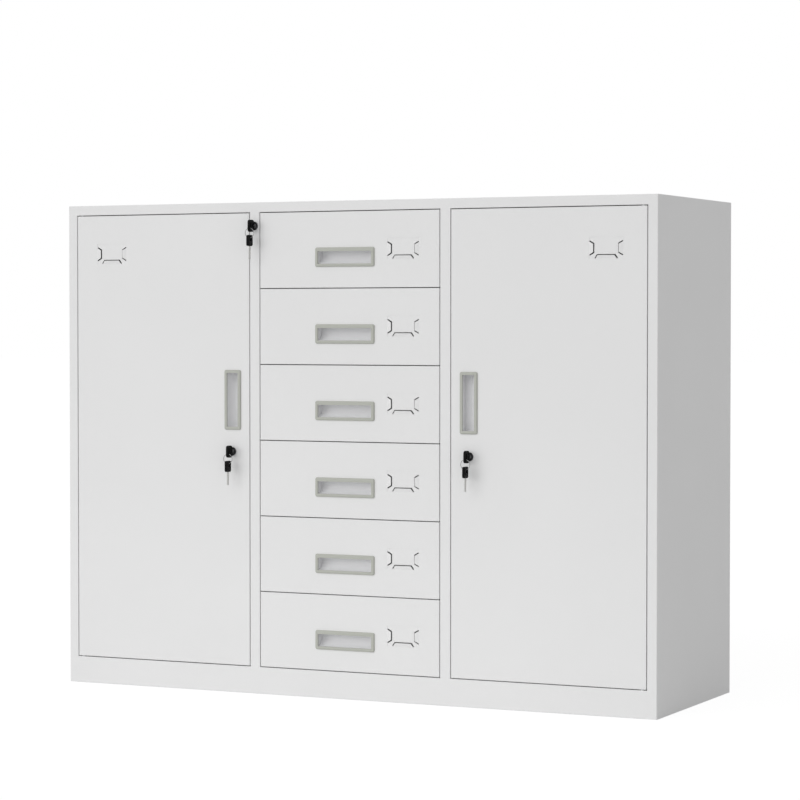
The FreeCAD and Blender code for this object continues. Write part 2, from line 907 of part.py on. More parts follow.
def fixed_runner(index):
    """Right-hand channel on the partition, with the stop for the moving member."""
    x = drawer_bay_x
    z = runner_height_of(index)
    half = runner_height / 2
    path = [
        (x - runner_flange_reach, z - half),
        (x, z - half),
        (x, z + half),
        (x - runner_flange_reach, z + half),
    ]
    channel = folded(
        "Y", path, [0, 2 * runner_steel, 2 * runner_steel, 0], runner_front_y, runner_back_y, runner_steel
    )
    stop_back = runner_back_y - 2 * runner_stop_length - drawer_travel - runner_stop_gap
    stop = block(
        box_x + runner_member_reach + runner_gap,
        x - runner_steel / 2,
        stop_back - runner_stop_length,
        stop_back,
        z - runner_stop_half_height,
        z + runner_stop_half_height,
    )
    return joined([channel, stop])


def moving_runner(index):
    """Right-hand channel on the drawer box, with the lug that meets the stop."""
    z = runner_height_of(index)
    half = runner_height / 2 - runner_steel - runner_gap
    tip = box_x + runner_member_reach
    path = [(tip, z + half), (box_x, z + half), (box_x, z - half), (tip, z - half)]
    radii = [0, 2 * runner_steel, 2 * runner_steel, 0]
    channel = folded("Y", path, radii, runner_front_y, runner_back_y, runner_steel)
    lug = block(
        box_x + runner_steel / 2,
        drawer_bay_x - runner_steel - runner_gap,
        runner_back_y - 2 * runner_stop_length,
        runner_back_y - runner_stop_length,
        z - runner_stop_half_height,
        z + runner_stop_half_height,
    )
    return joined([channel, lug])


def lock_housing():
    """Lock body at the origin of the front face, without its plug."""
    head = rod(lock_head_radius, Vector(0, -lock_head_proud, 0), Vector(0, 0, 0))
    head = fillet_where(head, lock_head_rounding, lambda edge: edge.BoundBox.YMax < -lock_head_proud / 2)
    barrel = rod(lock_body_radius, Vector(0, -lock_head_proud / 2, 0), Vector(0, lock_length, 0))
    bore = rod(plug_radius + plug_clearance, Vector(0, -lock_length, 0), Vector(0, 2 * lock_length, 0))
    groove_end = sheet + clip_groove_width
    groove = rod(lock_head_radius, Vector(0, sheet, 0), Vector(0, groove_end, 0))
    core = rod(lock_body_radius - clip_groove_depth, Vector(0, 0, 0), Vector(0, 2 * groove_end, 0))
    return joined([head, barrel]).cut(bore).cut(groove.cut(core))


def lock_clip():
    """Horseshoe clip that holds the lock behind the sheet."""
    y0 = sheet + (clip_groove_width - clip_thickness) / 2
    y1 = y0 + clip_thickness
    plate = block(-clip_front, clip_back, y0, y1, -clip_height / 2, clip_height / 2)
    notch = lock_body_radius - clip_groove_depth + clip_clearance
    mouth = block(-2 * clip_front, 0, 0, 2 * y1, -notch, notch)
    throat = rod(notch, Vector(0, 0, 0), Vector(0, 2 * y1, 0))
    return plate.cut(mouth).cut(throat)


def lock_plug():
    """Plug with the keyway and a square tail."""
    end = lock_length + plug_end_gap
    barrel = rod(plug_radius, Vector(0, -lock_head_proud + plug_recess, 0), Vector(0, end, 0))
    half = plug_tail / 2
    tail = block(-half, half, end, end + cam_thickness, -half, half)
    keyway = block(
        -keyway_width / 2,
        keyway_width / 2,
        -lock_length,
        keyway_depth - lock_head_proud,
        -keyway_height / 2,
        keyway_height / 2,
    )
    return joined([barrel, tail]).cut(keyway)


def tail_hole():
    """Cutter for the square tail of the plug."""
    half = plug_tail / 2 + plug_tail_clearance
    return block(-half, half, 0, 2 * lock_length, -half, half)


def lock_cam():
    """Door cam, hanging down while the lock is open."""
    y0 = lock_length + plug_end_gap + cam_clearance
    half = cam_width / 2
    points = [(-half, -cam_reach), (half, -cam_reach), (half, cam_heel), (-half, cam_heel)]
    return prism("Y", points, [half - 1] * 4, y0, y0 + cam_thickness).cut(tail_hole())


def crank_place():
    """Middle of the crank pin from the lock axis, with the drawers unlocked."""
    angle = math.radians(crank_start_angle)
    return crank_radius * math.cos(angle), crank_radius * math.sin(angle)


def lock_crank():
    """Disc with the pin that lifts the bar."""
    y0 = lock_length + plug_end_gap + cam_clearance
    disc = rod(crank_disc_radius, Vector(0, y0, 0), Vector(0, y0 + cam_thickness, 0)).cut(tail_hole())
    x, z = crank_place()
    pin_end = bar_setback + bar_thickness + bar_pin_overlap
    pin = rod(crank_pin_radius, Vector(x, y0 + cam_thickness, z), Vector(x, pin_end, z))
    return joined([disc, pin])


def cam_screw(radius):
    """Screw head behind the cam."""
    y0 = lock_length + plug_end_gap + cam_clearance + cam_thickness
    return rod(radius, Vector(0, y0, 0), Vector(0, y0 + cam_screw_height, 0))


def bow(front, bottom, bow_height, corner_radius, slot):
    """Plastic head of a key in the YZ plane. The slot for the ring is (y0, y1, z0, z1)."""
    half = bow_thickness / 2
    back = front + bow_depth
    top = bottom + bow_height
    points = [(front, bottom), (back, bottom), (back, top), (front, top)]
    plate = prism("X", points, [corner_radius] * 4, -half, half)
    y0, y1, z0, z1 = slot
    round_end = min(y1 - y0, z1 - z0) / 2 - bow_edge_radius / 2
    window = prism("X", [(y0, z0), (y1, z0), (y1, z1), (y0, z1)], [round_end] * 4, -2 * half, 2 * half)
    return fillet_where(plate.cut(window), bow_edge_radius, lambda edge: edge.BoundBox.XLength < 1e-3)


def bitted_blade(length):
    """Steel blade along -Z from the origin, with cuts along both edges."""
    half = blade_thickness / 2
    edge = blade_width / 2
    points = [(-edge, -length), (edge, -length), (edge, 0), (-edge, 0)]
    blade = prism("X", points, [blade_tip_radius, blade_tip_radius, 0, 0], -half, half)
    for index in range(bit_count):
        z = -length + bit_pitch * (index + 1)
        tip = edge - bit_depth * (2 + index * 2 % 3) / 4
        notch = [(tip, z), (edge + bit_depth, z - bit_pitch / 2), (edge + bit_depth, z + bit_pitch / 2)]
        cutter = prism("X", notch, [0, 0, 0], -half, half)
        blade = blade.cut(cutter).cut(cutter.mirror(Vector(0, 0, 0), Vector(0, 1, 0)))
    return blade


def inserted_key():
    """Key in the lock: the bow stands upright in front of the head and the blade is in the keyway."""
    back = -lock_head_proud - key_bow_gap
    slot = (
        -ring_reach - key_slot_width / 2,
        -ring_reach + key_slot_width / 2,
        -key_slot_length / 2,
        key_slot_length / 2,
    )
    head = bow(back - bow_depth, -key_bow_height / 2, key_bow_height, bow_corner_radius, slot)
    blade = bitted_blade(key_blade_length)
    blade.rotate(Vector(0, 0, 0), Vector(1, 0, 0), 90)
    blade.translate(Vector(0, back, 0))
    return [head, blade]


def key_ring():
    """Wire ring through the bow of the inserted key, hanging below it."""
    centre = Vector(0, -ring_reach, -ring_top_drop - ring_radius)
    return [Part.makeTorus(ring_radius, ring_wire_radius, centre, Vector(0, 1, 0))]


def spare_key():
    """Second key, hanging from the bottom of the ring."""
    slot_top = -ring_bottom_drop + ring_wire_radius + ring_gap
    bottom = -ring_bottom_drop + spare_bow_above_ring - spare_bow_height
    slot = (
        -ring_reach - spare_slot_length / 2,
        -ring_reach + spare_slot_length / 2,
        slot_top - spare_slot_height,
        slot_top,
    )
    head = bow(-ring_reach - bow_depth / 2, bottom, spare_bow_height, spare_bow_corner_radius, slot)
    blade = bitted_blade(spare_blade_length)
    blade.translate(Vector(0, -ring_reach, bottom))
    return [head, blade]


def bar_bottom():
    """Lower end of the lock bar while the drawers are unlocked."""
    return tooth_top(drawer_count - 1) - tooth_height - bar_tail


def gang_bar():
    """Flat bar with a notch for the crank pin, and one welded tooth for each drawer."""
    x0 = -pillar_mid_x - bar_width / 2
    x1 = -pillar_mid_x + bar_width / 2
    y1 = bar_y + bar_thickness
    strip = block(x0, x1, bar_y, y1, bar_bottom(), gang_lock_height + bar_top_rise)
    tip = -drawer_bay_x + tooth_reach
    teeth = [
        block(x1, tip, bar_y, y1, tooth_top(index) - tooth_height, tooth_top(index))
        for index in range(drawer_count)
    ]
    pin_x, pin_z = crank_place()
    clear = crank_pin_radius + bar_notch_clearance
    notch_x = -gang_lock_x + pin_x - crank_pin_radius - bar_notch_reach
    middle = gang_lock_height + pin_z
    notch = block(notch_x, x1 + sheet, bar_y - sheet, y1 + sheet, middle - clear, middle + clear)
    return [strip.cut(notch)] + teeth


def shelf_slots():
    """Index of the standard slot that each shelf's clips hang in."""
    total = int((standard_top - standard_bottom) / slot_pitch)
    return [total * (number + 1) // (shelf_count + 1) for number in range(shelf_count)]


def slot_bottom(index):
    """Lower edge of a slot in the standards."""
    return standard_bottom + slot_pitch * (index + 0.5)


def standard_places():
    """Middle in Y of the front and rear standards."""
    return shelf_front_y + standard_from_front, shelf_back_y - standard_from_back


def shelf(slot):
    """Shelf of the left compartment: sheet folded down on all four sides."""
    x0 = -side_x + sheet + standard_depth + shelf_side_clearance
    x1 = -drawer_bay_x - sheet - standard_depth - shelf_side_clearance
    z0 = slot_bottom(slot) + clip_tongue_thickness
    z1 = z0 + shelf_height

    def upright_or_top(edge):
        box = edge.BoundBox
        return box.ZLength > shelf_height / 2 or (box.ZLength < 1e-3 and box.ZMin > (z0 + z1) / 2)

    outer = round_box(x0, x1, shelf_front_y, shelf_back_y, z0, z1, fold_radius, upright_or_top)
    inner = round_box(
        x0 + sheet,
        x1 - sheet,
        shelf_front_y + sheet,
        shelf_back_y - sheet,
        z0 - shelf_height,
        z1 - sheet,
        fold_radius - sheet,
        upright_or_top,
    )
    return outer.cut(inner)


def standard(panel_x, inward, y):
    """Slotted channel of the left compartment, where inward is 1 on the side and -1 on the partition."""
    half = standard_width / 2
    web_x = panel_x + inward * standard_depth
    path = [
        (panel_x, y - inward * half),
        (web_x, y - inward * half),
        (web_x, y + inward * half),
        (panel_x, y + inward * half),
    ]
    radii = [0, fold_radius, fold_radius, 0]
    channel = folded("Z", path, radii, standard_bottom, standard_top)
    cutters = []
    index = 0
    while slot_bottom(index) + slot_pitch / 2 < standard_top:
        low = slot_bottom(index)
        x0, x1 = sorted((web_x - inward * 2 * sheet, web_x + inward * sheet))
        cutters.append(block(x0, x1, y - slot_width / 2, y + slot_width / 2, low, low + slot_height))
        index += 1
    return channel.cut(Part.makeCompound(cutters))


def shelf_clip(web_x, inward, y, slot):
    """Clip hooked in one slot, with its tongue under the shelf."""
    low = slot_bottom(slot)
    half = clip_tongue_width / 2
    x0, x1 = sorted((web_x - inward * clip_tongue_hold, web_x + inward * clip_tongue_reach))
    tongue = block(x0, x1, y - half, y + half, low, low + clip_tongue_thickness)
    x0, x1 = sorted((web_x, web_x + inward * clip_tongue_thickness))
    leg = block(x0, x1, y - half, y + half, low - clip_leg, low + clip_tongue_thickness)
    return joined([tongue, leg])


def compartment_sides():
    """Inner faces that carry the standards of the left compartment, with the way to its inside."""
    return [(-side_x + sheet, 1), (-drawer_bay_x - sheet, -1)]


def left_standards():
    """The four standards of the left compartment."""
    return [standard(x, inward, y) for x, inward in compartment_sides() for y in standard_places()]


def left_clips():
    """Four clips for each shelf of the left compartment."""
    return [
        shelf_clip(x + inward * standard_depth, inward, y, slot)
        for x, inward in compartment_sides()
        for y in standard_places()
        for slot in shelf_slots()
    ]


def save(node, pieces):
    """Write one node and say what is in it."""
    solids = [solid for piece in pieces for solid in piece.Solids]
    shape = solids[0] if len(solids) == 1 else Part.makeCompound(solids)
    shape.exportStep("parts/" + node + ".step")
    state = "valid" if shape.isValid() else "NOT VALID"
    print(f"{node}: {len(solids)} solids, {shape.Volume / 1000:.2f} cm3, {state}")


def moved(shapes, x, z):
    """Lock pieces carried from the origin to a lock's place on the front."""
    copies = [shape.copy() for shape in shapes]
    for copy in copies:
        copy.translate(Vector(x, front_y, z))
    return copies


def save_case():
    """Everything that stays with the case."""
    left_side = side_panel()
    save("side_panel_left", [left_side])
    save("side_panel_right", [mirrored(left_side)])
    save("top_panel", [top_panel()])
    stop_top = plinth_height + stop_length
    stops = [door_stop(side, plinth_height, stop_top) for side in (-1, 1)]
    save("bottom_deck", [bottom_deck(), plinth(), floor_channel()] + stops)
    save("back_panel", [back_panel()])
    save("back_panel_rivets", [rivet(x, z) for x, z in rivet_places()])
    save("partition_left", [left_partition()])
    save("partition_right", [mirrored(partition())])
    makers = (lower_hinge_pin, upper_hinge_pin)
    save("hinge_pins", [make(x) for x in (-hinge_x, hinge_x) for make in makers])
    buffer_heights = (leaf_bottom + door_lip / 2, leaf_top - door_lip / 2)
    save("door_buffers", [door_buffer(side * stop_x, z) for side in (-1, 1) for z in buffer_heights])
    left_shelves = [shelf(slot) for slot in shelf_slots()]
    save("shelves", left_shelves + [mirrored(piece) for piece in left_shelves])
    standards = left_standards()
    save("shelf_standards", standards + [mirrored(piece) for piece in standards])
    clips = left_clips()
    save("shelf_clips", clips + [mirrored(piece) for piece in clips])
    rails = [fixed_runner(index) for index in range(drawer_count)]
    save("runner_rails", rails + [mirrored(rail) for rail in rails])
    save("gang_lock_bar", gang_bar())


def save_doors():
    """Both doors with what is fixed to them."""
    skin = left_door_skin()
    stiffener = left_door_stiffener()
    left_pull = placed(door_pull(), -door_pull_x, door_pull_height, 90)
    for node, piece in (("skin", skin), ("stiffener", stiffener), ("pull", left_pull)):
        save("door_left_" + node, [piece])
        save("door_right_" + node, [mirrored(piece)])


def save_drawers():
    """The six drawers, from the top one down."""
    for index in range(drawer_count):
        name = f"drawer_{index + 1}_"
        bottom = drawer_front_bottom(index)
        pull_z = bottom + drawer_front_height / 2 - drawer_pull_drop
        save(name + "front", [drawer_front(index)])
        save(name + "box", [drawer_box(index), catch(index)])
        save(name + "pull", [placed(drawer_pull(), drawer_pull_x, pull_z)])
        member = moving_runner(index)
        save(name + "runners", [member, mirrored(member)])


def save_locks():
    """The two door locks and the gang lock, each with its key, ring and spare key."""
    places = {
        "left": (-door_lock_x, door_lock_height),
        "right": (door_lock_x, door_lock_height),
        "gang": (-gang_lock_x, gang_lock_height),
    }
    for name, (x, z) in places.items():
        lever = lock_crank() if name == "gang" else lock_cam()
        screw = cam_screw(crank_screw_radius if name == "gang" else cam_screw_radius)
        save(f"lock_{name}_housing", moved([lock_housing(), lock_clip()], x, z))
        save(f"lock_{name}_plug", moved([lock_plug(), lever, screw], x, z))
        save(f"lock_{name}_key", moved(inserted_key(), x, z))
        save(f"lock_{name}_ring", moved(key_ring(), x, z))
        save(f"lock_{name}_spare_key", moved(spare_key(), x, z))


os.makedirs("parts", exist_ok=True)
save_case()
save_doors()
save_drawers()
save_locks()
print(f"drawer travel {drawer_travel:.1f} mm, bar lift {bar_lift:.2f} mm")
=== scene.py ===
import json
import math

import bpy
import numpy as np
from mathutils import Euler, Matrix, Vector


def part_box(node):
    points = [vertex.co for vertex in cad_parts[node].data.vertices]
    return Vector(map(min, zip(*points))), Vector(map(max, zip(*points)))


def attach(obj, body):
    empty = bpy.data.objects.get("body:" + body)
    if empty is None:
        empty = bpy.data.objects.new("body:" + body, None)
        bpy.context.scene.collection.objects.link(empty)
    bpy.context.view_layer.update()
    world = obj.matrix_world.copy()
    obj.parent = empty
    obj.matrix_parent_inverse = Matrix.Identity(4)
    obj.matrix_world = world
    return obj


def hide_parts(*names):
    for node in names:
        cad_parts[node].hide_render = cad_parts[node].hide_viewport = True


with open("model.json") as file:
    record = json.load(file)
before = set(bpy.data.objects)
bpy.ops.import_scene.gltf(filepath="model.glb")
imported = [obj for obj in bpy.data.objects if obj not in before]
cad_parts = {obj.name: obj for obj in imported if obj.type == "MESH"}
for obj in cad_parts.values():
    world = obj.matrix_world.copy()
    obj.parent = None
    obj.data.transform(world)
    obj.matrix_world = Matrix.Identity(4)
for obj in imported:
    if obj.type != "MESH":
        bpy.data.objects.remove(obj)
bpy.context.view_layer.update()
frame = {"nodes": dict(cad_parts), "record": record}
nodes = frame["nodes"]
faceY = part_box("top_panel")[0].y  # the plane of the doors and drawer fronts
print("cabinet loaded:", len(nodes), "CAD nodes")

scene = bpy.context.scene
scene.view_settings.view_transform = "Standard"


# Finishes. Each one reads Object coordinates, in metres, so its grain stays put when a leaf or drawer moves.

# A Principled material with a look's plain numbers.
def newFinish(name, look):
    finish = bpy.data.materials.new(name)
    finish.use_nodes = True
    shader = finish.node_tree.nodes["Principled BSDF"]
    shader.inputs["Base Color"].default_value = (*look["colour"], 1.0)
    shader.inputs["Roughness"].default_value = look["roughness"]
    shader.inputs["Metallic"].default_value = look.get("metallic", 0.0)
    shader.inputs["Specular IOR Level"].default_value = look.get("specular", 0.5)
    return finish, finish.node_tree, shader


# Noise whose blotches are about as wide as size, in metres, stretched along an axis if asked.
def grainTexture(tree, size, detail, stretch=(1, 1, 1)):
    place = tree.nodes.new("ShaderNodeTexCoord")
    turn = tree.nodes.new("ShaderNodeMapping")
    turn.inputs["Scale"].default_value = stretch
    noise = tree.nodes.new("ShaderNodeTexNoise")
    noise.inputs["Scale"].default_value = 1.0 / size
    noise.inputs["Detail"].default_value = detail
    tree.links.new(place.outputs["Object"], turn.inputs["Vector"])
    tree.links.new(turn.outputs["Vector"], noise.inputs["Vector"])
    return noise.outputs["Fac"]


noiseSpan = (0.3, 0.7)  # where nearly all of the noise lies


# Maps noise from its usual span onto low to high, in a straight line.
def spread(tree, value, low, high):
    level = tree.nodes.new("ShaderNodeMapRange")
    level.inputs["From Min"].default_value = noiseSpan[0]
    level.inputs["From Max"].default_value = noiseSpan[1]
    level.inputs["To Min"].default_value = low
    level.inputs["To Max"].default_value = high
    tree.links.new(value, level.inputs["Value"])
    return level.outputs["Result"]


# Multiplies the colour by low to high, following the noise.
def shadeColour(tree, shader, value, colour, low, high):
    tint = tree.nodes.new("ShaderNodeVectorMath")
    tint.operation = "SCALE"
    tint.inputs[0].default_value = colour
    tree.links.new(spread(tree, value, low, high), tint.inputs["Scale"])
    tree.links.new(tint.outputs["Vector"], shader.inputs["Base Color"])


# Bump from noise; height is in metres.
def raiseGrain(tree, shader, value, height, strength):
    bump = tree.nodes.new("ShaderNodeBump")
    bump.inputs["Distance"].default_value = height
    bump.inputs["Strength"].default_value = strength
    tree.links.new(value, bump.inputs["Height"])
    tree.links.new(bump.outputs["Normal"], shader.inputs["Normal"])


powderLook = {
    "colour": (0.79, 0.79, 0.79), "roughness": 0.46, "specular": 0.4,
    "peelSize": 0.0022, "peelHeight": 0.00012, "peelStrength": 0.35,
    "cloudSize": 0.22, "cloudLow": 0.992, "cloudHigh": 1.008, "roughLow": 0.42, "roughHigh": 0.52,
    "cloudDetail": 2.0, "peelDetail": 3.0,
}


# Light grey powder coat: a fine orange peel, and very faint clouds in shade and gloss.
def powderCoat(look):
    finish, tree, shader = newFinish("powderCoatGrey", look)
    clouds = grainTexture(tree, look["cloudSize"], look["cloudDetail"])
    shadeColour(tree, shader, clouds, look["colour"], look["cloudLow"], look["cloudHigh"])
    peel = grainTexture(tree, look["peelSize"], look["peelDetail"])
    raiseGrain(tree, shader, peel, look["peelHeight"], look["peelStrength"])
    tree.links.new(spread(tree, peel, look["roughLow"], look["roughHigh"]), shader.inputs["Roughness"])
    return finish


pullLook = {
    "colour": (0.455, 0.465, 0.42), "inside": (0.76, 0.76, 0.77), "roughness": 0.5, "specular": 0.35,
    "grainSize": 0.0007, "grainHeight": 0.00008, "grainStrength": 0.4, "low": 0.97, "high": 1.03,
    "grainDetail": 4.0, "toneHalf": 0.0003,
}


# Grey moulded rim with a fine grain, and a paler scoop: the tone changes where the rim meets the sheet.
def pullPlastic(look):
    finish, tree, shader = newFinish("pullPlastic", look)
    grain = grainTexture(tree, look["grainSize"], look["grainDetail"])
    place = tree.nodes.new("ShaderNodeTexCoord")
    parts = tree.nodes.new("ShaderNodeSeparateXYZ")
    depth = tree.nodes.new("ShaderNodeMapRange")
    depth.inputs["From Min"].default_value = faceY - look["toneHalf"]
    depth.inputs["From Max"].default_value = faceY + look["toneHalf"]
    tone = tree.nodes.new("ShaderNodeMix")
    tone.data_type = "VECTOR"
    tone.inputs["A"].default_value = look["colour"]
    tone.inputs["B"].default_value = look["inside"]
    tint = tree.nodes.new("ShaderNodeVectorMath")
    tint.operation = "SCALE"
    tree.links.new(place.outputs["Object"], parts.inputs["Vector"])
    tree.links.new(parts.outputs["Y"], depth.inputs["Value"])
    tree.links.new(depth.outputs["Result"], tone.inputs["Factor"])
    tree.links.new(tone.outputs["Result"], tint.inputs[0])
    tree.links.new(spread(tree, grain, look["low"], look["high"]), tint.inputs["Scale"])
    tree.links.new(tint.outputs["Vector"], shader.inputs["Base Color"])
    raiseGrain(tree, shader, grain, look["grainHeight"], look["grainStrength"])
    return finish


plasticDetail = 4.0
plasticLooks = {
    "keyBlack": {
        "colour": (0.002, 0.002, 0.0022), "roughness": 0.55, "specular": 0.12,
        "grainSize": 0.0005, "grainHeight": 0.00005, "grainStrength": 0.35, "low": 0.85, "high": 1.15,
    },
    "bufferRubber": {
        "colour": (0.03, 0.03, 0.03), "roughness": 0.85, "specular": 0.3,
        "grainSize": 0.0012, "grainHeight": 0.0001, "grainStrength": 0.5, "low": 0.85, "high": 1.15,
    },
}


# Moulded plastic or rubber with a fine spark-eroded grain.
def mouldedPlastic(name):
    look = plasticLooks[name]
    finish, tree, shader = newFinish(name, look)
    grain = grainTexture(tree, look["grainSize"], plasticDetail)
    shadeColour(tree, shader, grain, look["colour"], look["low"], look["high"])
    raiseGrain(tree, shader, grain, look["grainHeight"], look["grainStrength"])
    return finish


metalGrain = {"detail": 3.0, "strength": 0.5}
metalLooks = {
    "zincSteel": {
        "colour": (0.56, 0.57, 0.58), "roughness": 0.36, "metallic": 1.0, "stretch": (1, 1, 1),
        "grainSize": 0.006, "low": 0.9, "high": 1.08, "roughLow": 0.3, "roughHigh": 0.45, "grainHeight": 0.00003,
    },
    "lockNickel": {
        "colour": (0.06, 0.06, 0.064), "roughness": 0.5, "metallic": 0.85, "stretch": (1, 8, 1),
        "grainSize": 0.0015, "low": 0.9, "high": 1.1, "roughLow": 0.42, "roughHigh": 0.56, "grainHeight": 0.00002,
    },
    "keySteel": {
        "colour": (0.62, 0.62, 0.6), "roughness": 0.34, "metallic": 1.0, "stretch": (1, 1, 0.12),
        "grainSize": 0.0008, "low": 0.94, "high": 1.05, "roughLow": 0.28, "roughHigh": 0.42, "grainHeight": 0.00002,
    },
    "ringSteel": {
        "colour": (0.4, 0.4, 0.4), "roughness": 0.4, "metallic": 1.0, "stretch": (1, 1, 1),
        "grainSize": 0.0012, "low": 0.95, "high": 1.04, "roughLow": 0.34, "roughHigh": 0.46, "grainHeight": 0.00001,
    },
}


# Plated steel: blotches in shade and gloss, stretched where the metal is ground or rolled.
def platedMetal(name):
    look = metalLooks[name]
    finish, tree, shader = newFinish(name, look)
    grain = grainTexture(tree, look["grainSize"], metalGrain["detail"], look["stretch"])
    shadeColour(tree, shader, grain, look["colour"], look["low"], look["high"])
    raiseGrain(tree, shader, grain, look["grainHeight"], metalGrain["strength"])
    tree.links.new(spread(tree, grain, look["roughLow"], look["roughHigh"]), shader.inputs["Roughness"])
    return finish


finishOf = {
    "powder_coat": powderCoat(powderLook),
    "pull_plastic": pullPlastic(pullLook),
    "key_plastic": mouldedPlastic("keyBlack"),
    "rubber": mouldedPlastic("bufferRubber"),
    "zinc_steel": platedMetal("zincSteel"),
    "lock_metal": platedMetal("lockNickel"),
    "ring_wire": platedMetal("ringSteel"),
}
bladeSteel = platedMetal("keySteel")

for piece in frame["record"]["subparts"]:
    holder = nodes[piece["node"]]
    holder.data.materials.clear()
    holder.data.materials.append(finishOf[piece["material_slot"]])
print("finishes on every CAD node")


# New pieces, each a mesh from one whole grid of points.

# Quads over a grid that closes round its columns, and round its rows too if asked.
def gridFaces(rows, columns, closedRows):
    row = np.arange(rows if closedRows else rows - 1)[:, None]
    column = np.arange(columns)[None, :]
    nextRow, nextColumn = (row + 1) % rows, (column + 1) % columns
    corners = [row * columns + column, row * columns + nextColumn]
    corners += [nextRow * columns + nextColumn, nextRow * columns + column]
    return np.stack(corners, -1).reshape(-1, 4)


# A smooth mesh object at the origin that rides on a body.
def newPiece(name, points, faces, finish, body):
    mesh = bpy.data.meshes.new(name)
    mesh.from_pydata(points.reshape(-1, 3).tolist(), [], faces)
    mesh.materials.append(finish)
    mesh.shade_smooth()
    mesh.update()
    piece = bpy.data.objects.new(name, mesh)
    scene.collection.objects.link(piece)
    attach(piece, body)
    return piece


# Rounded rectangle, anticlockwise: four quarter arcs of the radius about the inset corners, joined by straight
# runs. Gives the points and the outward normals; equal steps match one outline's points to another's.
def roundedOutline(halfDepth, halfHeight, radius, cornerSteps, flatSteps):
    angles = np.linspace(0, np.pi / 2, cornerSteps + 1)[None, :] + (np.pi / 2 * np.arange(4))[:, None]
    normals = np.stack([np.cos(angles), np.sin(angles)], -1)
    signs = np.array([[1, 1], [-1, 1], [-1, -1], [1, -1]])
    centres = signs * np.array([halfDepth - radius, halfHeight - radius])
    arcs = centres[:, None, :] + radius * normals
    share = np.linspace(0, 1, flatSteps + 2)[1:-1][None, :, None]
    runs = arcs[:, -1:, :] * (1 - share) + np.roll(arcs, -1, 0)[:, :1, :] * share
    runNormals = np.repeat(normals[:, -1:, :], flatSteps, 1)
    points = np.concatenate([arcs, runs], 1).reshape(-1, 2)
    return points, np.concatenate([normals, runNormals], 1).reshape(-1, 2)


keyHead = {
    "thickness": 0.0052, "edge": 0.00075, "cornerSteps": 7, "flatSteps": 26, "faceSteps": 30, "edgeSteps": 5,
    "panelDepth": 0.00035, "panelSlope": 0.0006, "panelCorner": 0.0015,
}


# Key head as a closed grid. Each column joins a point of the ring slot's outline to its match on the outer outline;
# going round the grid's rows, the section runs over one face, round the outer edge by a quarter circle each side,
# back over the other face and through the slot. The face sinks by panelDepth inside a rounded rectangle, with a
# smooth step as wide as panelSlope.
def headSurface(outer, slot, panel, look):
    outline, outward = roundedOutline(outer["halfDepth"], outer["halfHeight"], outer["corner"],
                                      look["cornerSteps"], look["flatSteps"])
    hole, holeOut = roundedOutline(slot["halfDepth"], slot["halfHeight"], slot["corner"],
                                   look["cornerSteps"], look["flatSteps"])
    outline = outline + np.array(outer["centre"])
    hole = hole + np.array(slot["centre"])
    half, edge = look["thickness"] / 2, look["edge"]
    bend = np.linspace(0, np.pi / 2, look["edgeSteps"])[:, None, None]
    share = np.linspace(0, 1, look["faceSteps"] + 1)[1:-1][:, None, None]
    holeRim = hole + holeOut * edge * (1 - np.cos(bend))
    holeLift = np.broadcast_to(half - edge + edge * np.sin(bend[..., 0]), holeRim.shape[:2])
    face = (hole + holeOut * edge) * (1 - share) + (outline - outward * edge) * share
    away = np.abs(face - np.array(panel["centre"])) - np.array([panel["halfDepth"], panel["halfHeight"]])
    away = away + look["panelCorner"]
    distance = np.hypot(*np.moveaxis(np.maximum(away, 0), -1, 0)) + np.minimum(away.max(-1), 0)
    distance = distance - look["panelCorner"]
    step = np.clip(0.5 - distance / look["panelSlope"], 0, 1)
    faceLift = half - look["panelDepth"] * step * step * (3 - 2 * step)
    outerRim = (outline - outward * edge * (1 - np.cos(bend)))[::-1]
    outerLift = np.broadcast_to(half - edge + edge * np.sin(bend[..., 0]), outerRim.shape[:2])[::-1]
    flat = np.concatenate([holeRim, face, outerRim])
    lift = np.concatenate([holeLift, faceLift, outerLift])
    near = np.concatenate([lift[..., None], flat], -1)
    far = near[::-1] * np.array([-1, 1, 1])
    return np.concatenate([near, far])[:, ::-1]  # this way round the faces point outward


keyBlade = {
    "thickness": 0.002, "width": 0.005, "tip": 0.0012, "rowStep": 0.00025, "groove": 0.00045, "grooveHalf": 0.0008,
    "bitPitch": 0.003, "bitDepth": 0.0011, "bits": (0.5, 1.0, 0.75, 0.5, 1.0), "bevel": 0.00018,
    "inner": 0.0012, "innerSteps": 12, "outerSteps": 2,
}


